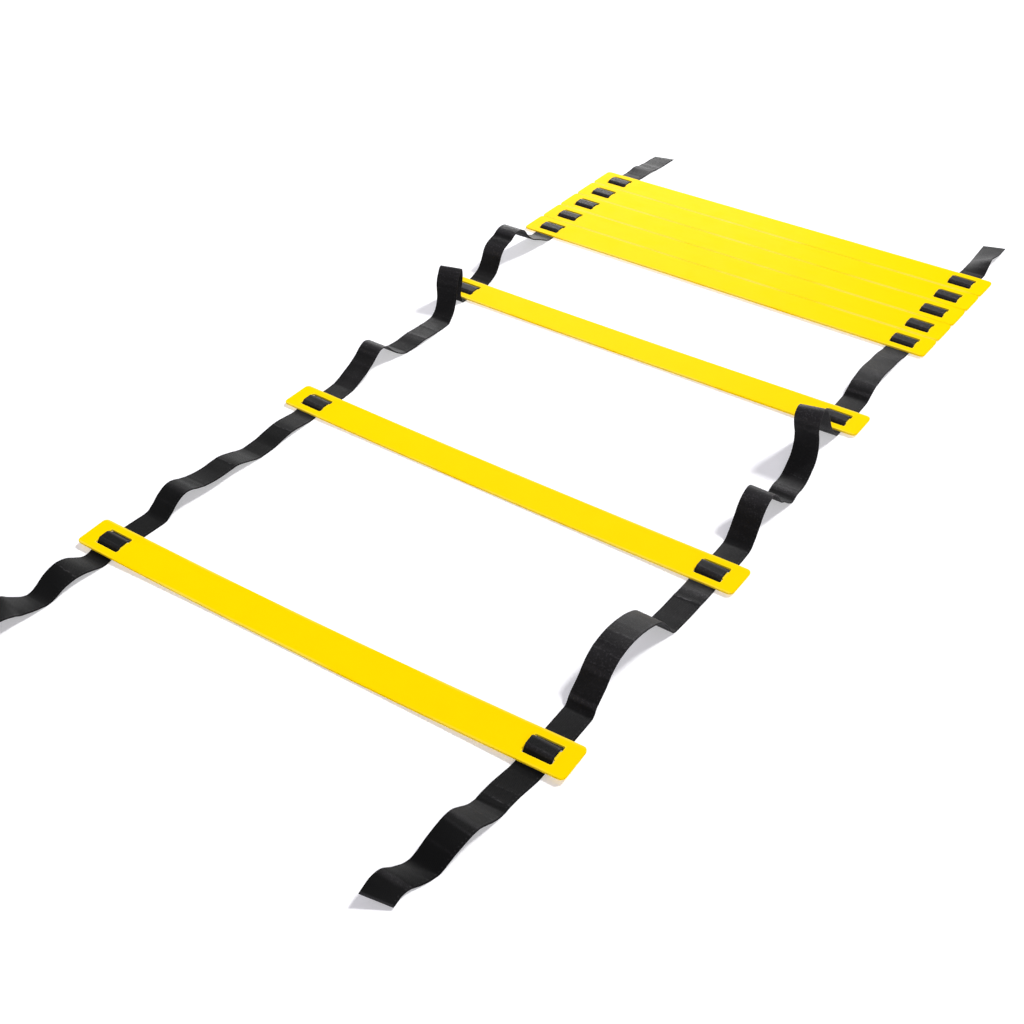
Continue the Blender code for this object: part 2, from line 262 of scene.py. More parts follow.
def makeSoftbox(name, settings):
    data = bpy.data.lights.new(name, "AREA")
    data.energy = settings["power"]
    data.size = settings["size"]
    data.use_shadow = False  # it only lifts the far side
    box = bpy.data.objects.new(name, data)
    box.location = settings["place"]
    away = Vector(settings["place"]) - Vector(settings["aim"])
    box.rotation_euler = away.to_track_quat("Z", "Y").to_euler()
    scene.collection.objects.link(box)


def makeWorld(settings):
    world = bpy.data.worlds.new("studioWorld")
    world.use_nodes = True
    scene.world = world
    tree = world.node_tree
    tree.nodes.clear()
    output = newNode(tree, "ShaderNodeOutputWorld", (600, 0))
    seen = seenMask(tree, (-600, 0))
    background = newNode(tree, "ShaderNodeBackground", (300, 0))
    color = mixColor(tree, (0, 200), seen, settings["skyTint"], (1, 1, 1, 1))
    strength = addShare(tree, (0, 0), seen, 1 - settings["sky"], settings["sky"])
    tree.links.new(color, background.inputs["Color"])
    tree.links.new(strength, background.inputs["Strength"])
    tree.links.new(background.outputs[0], output.inputs["Surface"])


scene.view_settings.view_transform = "Standard"
makeFloor(floorSettings)
makeSun("overhead", lightSettings["sun"], True)
makeSun("frontFill", lightSettings["frontFill"], False)
makeSoftbox("farSoftbox", lightSettings["farBox"])
makeWorld(lightSettings)
print("floor and light ready")


# Rungs: where they lie, read from the frame

rungSettings = {
    "count": 8,
    "length": 0.500,
    "width": 0.035,
    "thickness": 0.002,
    "windowInset": 0.028,
    "slotWidth": 0.0055,
    "barWidth": 0.0085,
    "turns": (2.2, -0.22, -0.49, -1.44, -1.44, -1.44, -1.44, -1.44),  # degrees
    "bows": (0.0047, 0.0022, 0.0012, 0, 0, 0, 0, 0),
    "arches": (0.0030, 0.0020, 0.0016, 0.0008, 0.0008, 0.0008, 0.0008, 0.0008),  # of the webbing off the bars
}


def findRungs(settings):
    rungs = []
    for i in range(settings["count"]):
        low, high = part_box(f"rung_{i + 1}")
        middle = Vector(((low.x + high.x) / 2, (low.y + high.y) / 2, low.z))
        turn = math.radians(settings["turns"][i])
        rungs.append({
            "node": f"rung_{i + 1}",
            "middle": middle,
            "turn": turn,
            "place": Matrix.Translation(middle) @ Matrix.Rotation(turn, 4, "Z"),
            "bow": settings["bows"][i],
            "arch": settings["arches"][i],
        })
    return rungs


rungs = findRungs(rungSettings)
halfLength = rungSettings["length"] / 2
windowPlace = halfLength - rungSettings["windowInset"]
slotOuter = rungSettings["barWidth"] / 2 + rungSettings["slotWidth"]


# Shared shader groups

grainSettings = {
    "grainScale": 2600.0,
    "mottleScale": 38.0,
    "mottleSpan": (0.3, 0.7),
    "streakStretch": (6, 420, 60),  # drawn out along the rung
    "streakSpan": (0.52, 0.72),
}


def makeGrainGroup(settings):
    # fine mould grain and slow mottling of a pressed plastic surface
    inputs = {"Grain Scale": settings["grainScale"], "Mottle Scale": settings["mottleScale"]}
    group, entry, result = newGroup("mouldGrain", inputs, ("Height", "Mottle", "Streaks"))
    place = newNode(group, "ShaderNodeTexCoord", (-900, 300)).outputs["Object"]
    grain = noiseNode(group, (-400, 300), place, entry.outputs["Grain Scale"], 3)
    mottle = noiseNode(group, (-400, 0), place, entry.outputs["Mottle Scale"], 4)
    stretch = newNode(group, "ShaderNodeMapping", (-650, -300))
    stretch.inputs["Scale"].default_value = settings["streakStretch"]
    group.links.new(place, stretch.inputs["Vector"])
    streaks = noiseNode(group, (-400, -300), stretch.outputs[0], 1, 5)
    mottle = ramp(group, (0, 0), mottle, settings["mottleSpan"])
    streaks = ramp(group, (0, -300), streaks, settings["streakSpan"])
    putOut(group, result, Height=grain, Mottle=mottle, Streaks=streaks)
    return group


planSettings = {
    "edgeBand": 0.0011,
    "sideBand": 0.0024,
    "driftScale": 9,
    "driftSpan": (0.40, 0.60),  # how much of the side band shows
}


def makeRungPlanGroup(settings):
    # masks that follow the rung's outline and its windows, from the rung's own middle and turn
    inputs = {
        "Middle": (0, 0, 0),
        "Turn": 0.0,
        "Edge Band": settings["edgeBand"],
        "Side Band": settings["sideBand"],
    }
    group, entry, result = newGroup("rungPlan", inputs, ("Edge", "Side", "Window"))
    place = newNode(group, "ShaderNodeTexCoord", (-1100, 300)).outputs["Object"]
    turned = newNode(group, "ShaderNodeVectorRotate", (-800, 300), rotation_type="Z_AXIS", invert=True)
    group.links.new(place, turned.inputs["Vector"])
    group.links.new(entry.outputs["Middle"], turned.inputs["Center"])
    group.links.new(entry.outputs["Turn"], turned.inputs["Angle"])
    moved = newNode(group, "ShaderNodeVectorMath", (-650, 300), operation="SUBTRACT")
    group.links.new(turned.outputs[0], moved.inputs[0])
    group.links.new(entry.outputs["Middle"], moved.inputs[1])
    parts = newNode(group, "ShaderNodeSeparateXYZ", (-500, 300))
    group.links.new(moved.outputs[0], parts.inputs[0])
    x = mathNode(group, "ABSOLUTE", (-350, 400), parts.outputs["X"])
    y = mathNode(group, "ABSOLUTE", (-350, 250), parts.outputs["Y"])
    toEnd = mathNode(group, "SUBTRACT", (-200, 400), halfLength, x)
    toSide = mathNode(group, "SUBTRACT", (-200, 250), rungSettings["width"] / 2, y)
    nearest = mathNode(group, "MINIMUM", (0, 350), toEnd, toSide)
    edge = fadeOff(group, (150, 350), nearest, entry.outputs["Edge Band"])
    drift = noiseNode(group, (-200, 600), place, settings["driftScale"])
    shown = ramp(group, (0, 600), drift, settings["driftSpan"])
    # the side band carries painted shade along the long sides
    side = fadeOff(group, (150, 500), toSide, entry.outputs["Side Band"])
    side = mathNode(group, "MULTIPLY", (450, 500), side, shown)
    fromWindow = mathNode(group, "SUBTRACT", (-200, 0), x, windowPlace)
    fromWindow = mathNode(group, "ABSOLUTE", (-50, 0), fromWindow)
    slotHalf = webSettings["width"] / 2 + webSettings["sideClearance"]
    outsideX = mathNode(group, "SUBTRACT", (100, 0), fromWindow, slotHalf)
    outsideY = mathNode(group, "SUBTRACT", (100, -150), y, slotOuter)
    farthest = mathNode(group, "MAXIMUM", (250, -50), outsideX, outsideY)
    window = fadeOff(group, (400, -50), farthest, entry.outputs["Edge Band"])
    putOut(group, result, Edge=edge, Side=side, Window=window)
    return group


weaveSettings = {
    "yarnPitch": 0.00104,
    "pickPitch": 0.00135,
    "stagger": 0.5,  # of a pick, from one yarn to the next
    "pickDepth": 0.35,
    "crownPower": 0.6,
    "fuzzScale": 3200.0,
    "fuzzHeight": 0.25,
    "fuzzSpan": (0.5, 0.75),
    "loopPitch": 0.0037,  # of the knitted loops that close one edge
    "loopInset": 0.0020,
    "loopLine": (0.0003, 0.0008),
    "loopSpan": (0.26, 0.42),
    "loopShown": (0.35, 0.60),
}


def makeWeaveGroup(settings):
    # plain woven webbing: yarns along it, picks across it, in metres along the UV map
    inputs = {
        "Yarn Pitch": settings["yarnPitch"],
        "Pick Pitch": settings["pickPitch"],
        "Fuzz Scale": settings["fuzzScale"],
        "Loop Pitch": settings["loopPitch"],
    }
    group, entry, result = newGroup("webbingWeave", inputs, ("Height", "Yarn", "Fuzz", "Selvedge"))
    uv = newNode(group, "ShaderNodeUVMap", (-1100, 200), uv_map="webbingMap")
    parts = newNode(group, "ShaderNodeSeparateXYZ", (-900, 200))
    group.links.new(uv.outputs[0], parts.inputs[0])
    yarns = mathNode(group, "DIVIDE", (-700, 300), parts.outputs["X"], entry.outputs["Yarn Pitch"])
    picks = mathNode(group, "DIVIDE", (-700, 100), parts.outputs["Y"], entry.outputs["Pick Pitch"])
    count = mathNode(group, "FLOOR", (-550, 400), yarns)
    shifted = addShare(group, (-400, 200), count, settings["stagger"], picks)
    wave = mathNode(group, "MULTIPLY", (-250, 200), shifted, 2 * math.pi)
    lift = mathNode(group, "SINE", (-100, 200), wave)
    depth = settings["pickDepth"]
    lift = addShare(group, (50, 200), lift, depth, 1 - depth)
    across = mathNode(group, "FRACT", (-400, 400), yarns)
    across = mathNode(group, "MULTIPLY", (-250, 400), across, math.pi)
    crown = mathNode(group, "SINE", (-100, 400), across)
    crown = mathNode(group, "POWER", (50, 400), crown, settings["crownPower"])
    yarn = mathNode(group, "MULTIPLY", (250, 300), crown, lift)
    place = newNode(group, "ShaderNodeTexCoord", (-1100, -200)).outputs["Object"]
    fuzz = noiseNode(group, (-700, -200), place, entry.outputs["Fuzz Scale"], 4)
    height = addShare(group, (450, 200), fuzz, settings["fuzzHeight"], yarn)
    # knitted loops of the edge the needle loom closes, a little in from the right edge
    fromEdge = mathNode(group, "SUBTRACT", (-700, -450), webSettings["width"], parts.outputs["X"])
    offLine = mathNode(group, "SUBTRACT", (-550, -450), fromEdge, settings["loopInset"])
    offLine = mathNode(group, "ABSOLUTE", (-400, -450), offLine)
    offLine = ramp(group, (-250, -550), offLine, settings["loopLine"])
    line = mathNode(group, "SUBTRACT", (-250, -450), 1, offLine)
    loops = mathNode(group, "DIVIDE", (-550, -700), parts.outputs["Y"], entry.outputs["Loop Pitch"])
    loops = mathNode(group, "PINGPONG", (-400, -700), loops, 0.5)
    loops = ramp(group, (-250, -700), loops, settings["loopSpan"])
    flecks = mathNode(group, "MULTIPLY", (0, -600), line, loops)
    shown = ramp(group, (450, -500), fuzz, settings["loopShown"])
    flecks = mathNode(group, "MULTIPLY", (600, -600), flecks, shown)
    tufts = ramp(group, (450, -200), fuzz, settings["fuzzSpan"])
    putOut(group, result, Height=height, Yarn=yarn, Fuzz=tufts, Selvedge=flecks)
    return group


dustSettings = {
    "patchScale": 45.0,
    "patchSpan": (0.42, 0.72),
    "speckScale": 900.0,
    "speckSpan": (0.68, 0.78),
}


def makeDustGroup(settings):
    # faint dust and lint in soft patches
    inputs = {"Patch Scale": settings["patchScale"], "Speck Scale": settings["speckScale"]}
    group, entry, result = newGroup("faintDust", inputs, ("Dust", "Specks"))
    place = newNode(group, "ShaderNodeTexCoord", (-900, 0)).outputs["Object"]
    patches = noiseNode(group, (-500, 200), place, entry.outputs["Patch Scale"], 5)
    specks = noiseNode(group, (-500, -200), place, entry.outputs["Speck Scale"])
    patches = ramp(group, (-200, 200), patches, settings["patchSpan"])
    specks = ramp(group, (-200, -200), specks, settings["speckSpan"])
    putOut(group, result, Dust=patches, Specks=specks)
    return group


creaseSettings = {
    "lineWidth": 0.0011,
    "wander": 0.0034,  # how far a line strays along the webbing
    "wanderScale": 190,
    "breakScale": 330,
    "breakSpan": (0.40, 0.64),
    "speckleScale": 620,
    "speckleSpan": (0.52, 0.72),
    "fusedSpan": (0.0008, 0.0022),  # from a cut end, which is melted
}


def makeCreaseGroup(name, settings, creases, length):
    # thin lines across one length of webbing, painted highlight along its raised creases and painted shade
    # along its sunk ones, and its melted ends
    # creases are (place along it, slant, tone), tone above 0 is lighter
    outputs = ("Light", "Shade", "Fused", "Speckle")
    group, entry, result = newGroup(name, {"Line Width": settings["lineWidth"]}, outputs)
    uv = newNode(group, "ShaderNodeUVMap", (-1500, 0), uv_map="webbingMap")
    parts = newNode(group, "ShaderNodeSeparateXYZ", (-1300, 0))
    group.links.new(uv.outputs[0], parts.inputs[0])
    place = newNode(group, "ShaderNodeTexCoord", (-1500, -300)).outputs["Object"]
    wander = noiseNode(group, (-1300, -300), place, settings["wanderScale"])
    breaks = noiseNode(group, (-1300, -500), place, settings["breakScale"])
    speckle = noiseNode(group, (-1300, -900), place, settings["speckleScale"])
    speckle = ramp(group, (-1000, -900), speckle, settings["speckleSpan"])
    centred = mathNode(group, "SUBTRACT", (-1100, 100), parts.outputs["X"], webSettings["width"] / 2)
    along = addShare(group, (-1100, -100), wander, settings["wander"], parts.outputs["Y"])
    broken = ramp(group, (100, -400), breaks, settings["breakSpan"])
    for label, sign in (("Light", 1), ("Shade", -1)):
        total = 0
        for i, (middle, slant, tone) in enumerate(creases):
            if tone * sign <= 0:
                continue
            level = addShare(group, (-900, i * 60), centred, -slant, along)
            gap = mathNode(group, "SUBTRACT", (-700, i * 60), level, middle + settings["wander"] / 2)
            gap = mathNode(group, "ABSOLUTE", (-550, i * 60), gap)
            line = fadeOff(group, (-400, i * 60), gap, entry.outputs["Line Width"])
            total = addShare(group, (-100, i * 60), line, abs(tone), total)
        shown = mathNode(group, "MULTIPLY", (300, 0), total, broken, clamp=True)
        group.links.new(shown, result.inputs[label])
    toEnd = mathNode(group, "SUBTRACT", (-900, -700), length, parts.outputs["Y"])
    nearest = mathNode(group, "MINIMUM", (-700, -700), toEnd, parts.outputs["Y"])
    clear = ramp(group, (-500, -700), nearest, settings["fusedSpan"])
    fused = mathNode(group, "SUBTRACT", (-300, -700), 1, clear)
    putOut(group, result, Fused=fused, Speckle=speckle)
    return group


# Rung plastic

plasticSettings = {
    "color": (1.0, 0.68, 0.0, 1),
    "warm": (1.0, 0.64, 0.0, 1),  # mottling
    "rim": (1.0, 0.86, 0.06, 1),  # painted highlight: a lighter colour round the windows' edges
    "edge": (0.93, 0.75, 0.16, 1),  # painted shade: a tan tone along the long sides, and in the joints of the stack
    "warmShare": 0.25,
    "rimShare": 0.35,
    "sideShadeShare": 0.5,
    "roughness": 0.36,
    "streakRoughness": 0.10,
    "dustRoughness": 0.08,
    "specular": 0.003,
    "rimCoat": 0.06,
    "coatRoughness": 0.25,
    "grainBump": 0.06,
    "grainDepth": 0.0004,
}


def makePlastic(rung, settings, plan, grain, dust):
    material, tree, output = newMaterial("rungPlastic" + rung["node"][-1])
    shape = placeGroup(tree, plan, (-900, 300), Middle=rung["middle"], Turn=rung["turn"])
    surface = placeGroup(tree, grain, (-900, 0))
    dirt = placeGroup(tree, dust, (-900, -300))
    mottled = mathNode(tree, "MULTIPLY", (-600, 100), surface.outputs["Mottle"], settings["warmShare"])
    color = mixColor(tree, (-300, 200), mottled, settings["color"], settings["warm"])
    # painted shade along the long sides and in the joints of the stack
    sideShade = mathNode(tree, "MULTIPLY", (-600, 400), shape.outputs["Side"], settings["sideShadeShare"])
    color = mixColor(tree, (-200, 300), sideShade, color, settings["edge"])
    # painted highlight round the windows' edges
    windowHighlit = mathNode(tree, "MULTIPLY", (-400, 500), shape.outputs["Window"], settings["rimShare"])
    color = mixColor(tree, (-50, 200), windowHighlit, color, settings["rim"])
    rough = settings["roughness"]
    rough = addShare(tree, (-300, -100), surface.outputs["Streaks"], settings["streakRoughness"], rough)
    rough = addShare(tree, (-100, -100), dirt.outputs["Dust"], settings["dustRoughness"], rough)
    addShader(tree, output, {
        "Base Color": color,
        "Roughness": rough,
        "Specular IOR Level": settings["specular"],
        "Coat Weight": mathNode(tree, "MULTIPLY", (300, 300), shape.outputs["Edge"], settings["rimCoat"]),
        "Coat Roughness": settings["coatRoughness"],
        "Normal": bumpNode(tree, surface.outputs["Height"], settings["grainBump"], settings["grainDepth"]),
    })
    return material


# Webbing

webSettings = {
    "width": 0.025,
    "thickness": 0.0012,
    "sideClearance": 0.0004,
    "seatGap": 0.0003,
    "ringStep": 0.0012,  # along the webbing
    "riseSteps": 14,
    "crestShare": 0.9,  # how much of the bar lies under the level top
    "rightEdgeShare": 0.3,  # of the arch, at the webbing's right edge
    "leftWindowShare": 0.2,  # of the arch, in the left windows
    "edgeSteps": 3,
    # across the right half: place as a share of half the width, height as a share of half the thickness
    "halfSection": ((0.0, 1.0), (0.42, 1.0), (0.80, 1.0), (0.885, 0.88)),
    "beadRise": 1.08,  # the selvedge stands a little proud
    "creaseRise": 0.00040,
    "creaseSpread": 0.0016,
    "waver": 0.00022,  # how far the cloth strays from its smooth path
    "waverScale": 60,  # how closely its waves follow each other
    "waverAcross": 0.9,
    "waverSides": 7.3,  # apart, so that the two lengths differ
    "waverClear": 0.009,  # none this near to a window, all of it this much further on
    "crestBend": 70,  # per metre, the curvature that counts as a full crest, worn and with a painted highlight
    "nearShade": 0.85,  # painted shade: how much darker the cloth is towards the near end
    "nearShadeRight": (0.13, 0.25),  # along the right webbing: where it starts to fade, and where it ends
    "nearShadeLeft": (0.38, 0.50),
    "fusedTaper": 0.75,
    "sharpAngle": 60,  # degrees
    "shortStretch": 0.03,  # shorter stretches, between the stacked rungs, stay in one length
    "nearCut": (0.08, 0.24),  # where the others are parted, as shares of the way to the next rung
    "farCut": (0.76, 0.92),
    "liftDivisor": 20,  # the larger, the less it counts there that the webbing lies low
}

# Stretches of webbing, as in the frame's own but for the right near end: (run, rise, shift[, ahead, above])
# run is a share of the way from rung to rung, rise a share of the tallest fold, shift is to the right
# in widths, and ahead and above say how far the right edge leads and stands up, in half widths
rightTailShares = (
    (0.055, 0.44, -0.66, 0.45, -0.46),
    (0.09, 0.52, -0.67, 0.38, -0.52),
    (0.125, 0.60, -0.67, 0.33, -0.58),
    (0.175, 0.59, -0.62, 0.28, -0.60),
    (0.24, 0.22, -0.52, 0.20, -0.22),
    (0.32, 0.02, -0.41, 0.08),
    (0.41, 0.69, -0.26, 0.00, -0.06),
    (0.49, 0.96, -0.20, 0.00, -0.13),
    (0.53, 1.00, -0.18, 0.00, -0.14),
    (0.57, 0.92, -0.17, 0.00, -0.12),
    (0.62, 0.60, -0.16, 0.00, -0.06),
    (0.67, 0.23, -0.17),
    (0.73, 0.00, -0.18),
    (0.84, 0.00, -0.16),
    (0.96, 0.00, -0.07),
)
rightFirstShares = (
    (0.02, 0.00, 0.00),
    (0.14, 0.00, -0.04),
    (0.18, 0.20, -0.05),
    (0.23, 0.47, -0.02),
    (0.26, 0.68, 0.00),
    (0.30, 0.86, 0.02),
    (0.345, 0.96, 0.04),
    (0.40, 1.00, 0.05),
    (0.47, 0.96, 0.05),
    (0.545, 0.84, 0.04),
    (0.605, 0.66, 0.02),
    (0.65, 0.36, 0.00),
    (0.70, 0.03, -0.01),
    (0.77, 0.00, 0.01),
    (0.88, 0.02, 0.03),
    (0.94, 0.03, 0.04),
    (0.985, 0.00, 0.01),
)
rightSecondShares = (
    (0.02, 0.00, 0.06),
    (0.10, 0.00, 0.08),
    (0.14, 0.105, 0.09),
    (0.17, 0.27, 0.11),
    (0.20, 0.45, 0.13),
    (0.23, 0.565, 0.16),
    (0.268, 0.61, 0.18),
    (0.30, 0.55, 0.20),
    (0.325, 0.415, 0.21),
    (0.352, 0.30, 0.21),
    (0.39, 0.21, 0.21),
    (0.425, 0.10, 0.21),
    (0.47, 0.00, 0.21),
    (0.515, 0.03, 0.21),
    (0.57, 0.00, 0.20),
    (0.61, 0.02, 0.20),
    (0.65, 0.105, 0.20),
    (0.685, 0.21, 0.20),
    (0.708, 0.365, 0.18, -0.04),
    (0.707, 0.56, 0.17, -0.06),
    (0.697, 0.74, 0.15, -0.04, 0.04),
    (0.695, 0.895, 0.15, 0.04, 0.09),
    (0.712, 0.985, 0.15, 0.12, 0.11),
    (0.74, 1.00, 0.14, 0.14, 0.09),
    (0.772, 0.925, 0.13, 0.12, 0.05),
    (0.80, 0.78, 0.12, 0.08),
    (0.833, 0.59, 0.10, 0.04),
    (0.865, 0.42, 0.08),
    (0.905, 0.245, 0.06),
    (0.945, 0.09, 0.03),
    (0.985, 0.00, 0.01),
)
rightThirdShares = (
    (0.02, 0.00, 0.04),
    (0.17, 0.00, 0.04),
    (0.24, 0.50, 0.06),
    (0.31, 0.88, 0.06),
    (0.39, 0.98, 0.05),
    (0.47, 1.00, 0.03),
    (0.57, 0.83, 0.01),
    (0.67, 0.62, 0.00),
    (0.77, 0.45, -0.02),
    (0.86, 0.28, -0.02),
    (0.95, 0.05, -0.01),
)
rightFarShares = (
    (0.03, 0.00, 0.03),
    (0.16, 0.02, 0.06),
    (0.30, 0.60, 0.07, 0.00, 0.24),
    (0.43, 1.00, 0.07, 0.00, 0.42),
    (0.56, 0.80, 0.06, 0.00, 0.34),
    (0.70, 0.50, 0.05, 0.00, 0.24),
    (0.85, 0.38, 0.04, 0.00, 0.18),
    (1.00, 0.36, 0.03, 0.00, 0.14),
)
leftTailShares = (
    (0.00, 0.00, -0.04),
    (0.07, 0.00, -0.04),
    (0.125, 0.03, -0.04),
    (0.185, 0.30, -0.04),
    (0.24, 0.66, -0.04),
    (0.30, 0.93, -0.04),
    (0.345, 1.00, -0.04),
    (0.40, 0.98, -0.04, 0.00, -0.15),
    (0.45, 0.86, -0.04, 0.00, -0.32),
    (0.48, 0.72, -0.04, 0.00, -0.42),
    (0.51, 0.52, -0.04, 0.00, -0.26),
    (0.55, 0.28, -0.04, 0.00, -0.12),
    (0.59, 0.09, -0.04),
    (0.63, 0.02, -0.04),
    (0.67, 0.14, -0.03, 0.00, -0.06),
    (0.72, 0.40, -0.02, 0.00, -0.16),
    (0.77, 0.54, -0.01, 0.00, -0.24),
    (0.815, 0.56, 0.00, 0.00, -0.26),
    (0.86, 0.45, 0.00, 0.00, -0.20),
    (0.90, 0.26, 0.01, 0.00, -0.08),
    (0.94, 0.06, 0.01),
    (0.98, 0.00, 0.01),
)
leftFirstShares = (
    (0.02, 0.00, 0.04),
    (0.12, 0.00, 0.06),
    (0.163, 0.26, 0.07),
    (0.195, 0.62, 0.08),
    (0.23, 0.90, 0.09),
    (0.26, 1.00, 0.10),
    (0.29, 0.92, 0.10),
    (0.32, 0.75, 0.10),
    (0.375, 0.57, 0.11),
    (0.435, 0.50, 0.12),
    (0.495, 0.52, 0.12),
    (0.54, 0.50, 0.13),
    (0.595, 0.27, 0.13),
    (0.65, 0.03, 0.13),
    (0.73, 0.00, 0.12),
    (0.80, 0.14, 0.11),
    (0.865, 0.20, 0.10),
    (0.93, 0.10, 0.08),
    (0.98, 0.00, 0.05),
)
leftSecondShares = (
    (0.02, 0.00, 0.07),
    (0.08, 0.00, 0.08),
    (0.12, 0.03, 0.08),
    (0.16, 0.09, 0.08),
    (0.20, 0.15, 0.08),
    (0.23, 0.22, 0.09),
    (0.26, 0.29, 0.09),
    (0.29, 0.38, 0.09),
    (0.323, 0.44, 0.10),
    (0.355, 0.40, 0.11),
    (0.38, 0.29, 0.13),
    (0.40, 0.19, 0.16),
    (0.425, 0.10, 0.20),
    (0.46, 0.02, 0.27),
    (0.52, 0.02, 0.37),
    (0.59, 0.05, 0.45),
    (0.68, 0.02, 0.49),
    (0.77, 0.00, 0.50),
    (0.808, 0.06, 0.47, -0.08),
    (0.834, 0.15, 0.44, -0.04),
    (0.853, 0.28, 0.41),
    (0.866, 0.42, 0.38, 0.08),
    (0.874, 0.58, 0.35, 0.14),
    (0.883, 0.73, 0.35, 0.20),
    (0.897, 0.87, 0.36, 0.24),
    (0.914, 0.97, 0.35, 0.26),
    (0.928, 0.97, 0.33, 0.24),
    (0.940, 0.86, 0.27, 0.20),
    (0.948, 0.68, 0.20, 0.16),
    (0.955, 0.45, 0.09, 0.10),
    (0.963, 0.20, -0.02, 0.04),
    (0.982, 0.00, -0.01),
)
leftThirdShares = (
    (0.03, 0.00, 0.00),
    (0.095, 0.06, 0.00),
    (0.15, 0.14, 0.00),
    (0.19, 0.28, 0.00),
    (0.22, 0.45, 0.00),
    (0.25, 0.63, 0.00),
    (0.29, 0.75, 0.00),
    (0.34, 0.82, 0.01),
    (0.39, 0.87, 0.02),
    (0.44, 0.97, 0.03),
    (0.495, 1.00, 0.03),
    (0.54, 0.97, 0.03),
    (0.59, 0.86, 0.03),
    (0.63, 0.66, 0.03),
    (0.68, 0.48, 0.03),
    (0.73, 0.37, 0.04),
    (0.79, 0.27, 0.04),
    (0.86, 0.15, 0.04),
    (0.92, 0.05, 0.03),
    (0.97, 0.00, 0.01),
)
leftFarShares = (
    (0.05, 0.00, 0.06),
    (0.22, 0.45, 0.14),
    (0.38, 1.00, 0.19, 0.00, -0.06),
    (0.52, 0.50, 0.24),
    (0.66, 0.10, 0.27),
    (0.82, 0.25, 0.31, 0.10),
    (1.00, 0.35, 0.37, 0.20),
)

# For each stretch: its shares, its tallest fold and, at the loose ends, its length
rightStretches = {
    0: (rightTailShares, 0.0150, 0.158),
    1: (rightFirstShares, 0.0410, 0),
    2: (rightSecondShares, 0.0600, 0),
    3: (rightThirdShares, 0.0100, 0),
    8: (rightFarShares, 0.0056, 0.0755),
}
leftStretches = {
    0: (leftTailShares, 0.0165, 0.174),
    1: (leftFirstShares, 0.0163, 0),
    2: (leftSecondShares, 0.0485, 0),
    3: (leftThirdShares, 0.0385, 0),
    8: (leftFarShares, 0.0022, 0.074),
}

# Creases across each stretch: (run, slant, tone)
# slant is how far a crease leads at the right edge, in widths, and a tone above 0 is lighter: a raised crease
# with a painted highlight, below 0 a sunk one with painted shade
rightCreases = {
    0: ((0.30, 0.30, -0.5), (0.66, 0.05, 0.4), (0.735, 0.10, -1.0), (0.775, 0.04, 0.5), (0.85, 0.10, 0.3)),
    1: (
        (0.145, 0.02, -0.6), (0.27, 0.05, 0.35), (0.315, -0.04, 0.6), (0.35, 0.06, 0.35), (0.40, 0.02, 0.5),
        (0.455, -0.03, 0.3), (0.70, 0.0, -0.5), (0.885, 0.06, 1.0),
    ),
    2: (
        (0.125, 0.0, -0.4), (0.235, 0.03, 0.3), (0.47, 0.02, -0.8), (0.54, 0.05, 0.6), (0.62, -0.05, 0.4),
        (0.905, 0.0, 0.3),
    ),
    3: ((0.19, 0.02, -0.5), (0.33, 0.04, 0.3), (0.52, -0.03, 0.3), (0.80, 0.03, 0.4)),
    8: ((0.16, 0.0, -0.5), (0.44, 0.06, 0.3)),
}
leftCreases = {
    0: ((0.16, 0.0, -0.4), (0.34, 0.03, 0.4), (0.61, 0.0, -0.6), (0.80, 0.03, 0.4)),
    1: ((0.14, 0.0, -0.5), (0.35, 0.03, -0.6), (0.52, 0.03, 0.4), (0.66, 0.0, -0.5), (0.85, 0.03, 0.4)),
    2: ((0.09, 0.0, -0.4), (0.47, 0.0, -0.7), (0.60, 0.06, 0.7), (0.69, -0.04, 0.5), (0.78, 0.0, -0.5)),
    3: ((0.10, 0.0, -0.4), (0.36, 0.03, 0.4), (0.46, -0.02, 0.3), (0.95, 0.0, -0.5)),
    8: ((0.16, 0.0, -0.5), (0.50, 0.05, -1.0), (0.60, 0.06, 1.0)),
}

webRest = webSettings["thickness"] / 2
webHalf = webSettings["width"] / 2


def smoothStep(share):
    return share * share * (3 - 2 * share)


def windowPath(rung, side, towards):
    # edge points over half a window: up to the crest (-1) or down from it (1)
    low = -webSettings["seatGap"] - webRest
    seated = rungSettings["thickness"] + webSettings["seatGap"] + webRest
    level = webSettings["crestShare"] * rungSettings["barWidth"] / 2
    arch = rung["arch"] * (webSettings["leftWindowShare"] if side < 0 else 1)
    steps = webSettings["riseSteps"]
    climb = []
    for step in range(steps + 1):
        share = step / steps
        climb.append((-slotOuter + (slotOuter - level) * share, smoothStep(share)))
    climb += [(-level / 2, 1), (0, 1)]
    if towards > 0:
        climb = [(-y, rise) for y, rise in reversed(climb)]
    pairs = []
    for y, rise in climb:
        pair = []
        for edge, share in ((-webHalf, 1), (webHalf, webSettings["rightEdgeShare"])):
            x = side * windowPlace + edge
            high = seated + arch * share
            z = low + (high - low) * rise + rung["bow"] * (x / halfLength) ** 2
            pair.append(rung["place"] @ Vector((x, y, z)))
        pairs.append(pair)
    return pairs


def groundPoint(rung, side, towards):
    # on the ground under a rung's long edge, in line with its windows
    point = rung["place"] @ Vector((side * windowPlace, towards * rungSettings["width"] / 2, 0))
    return Vector((point.x, point.y, 0))


def stretchRows(shares, fold, start, end):
    # six numbers for each share: the point at the left edge, then the one at the right edge
    rows = []
    for entry in shares:
        run, rise, shift, ahead, above = (*entry, 0, 0)[:5]
        middle = start.lerp(end, run)
        x = middle.x + shift * webSettings["width"]
        z = webRest + rise * fold
        row = []
        for edge in (-webHalf, webHalf):
            row += [x + edge, middle.y + edge * ahead, z + edge * above]
        rows.append(row)
    return rows


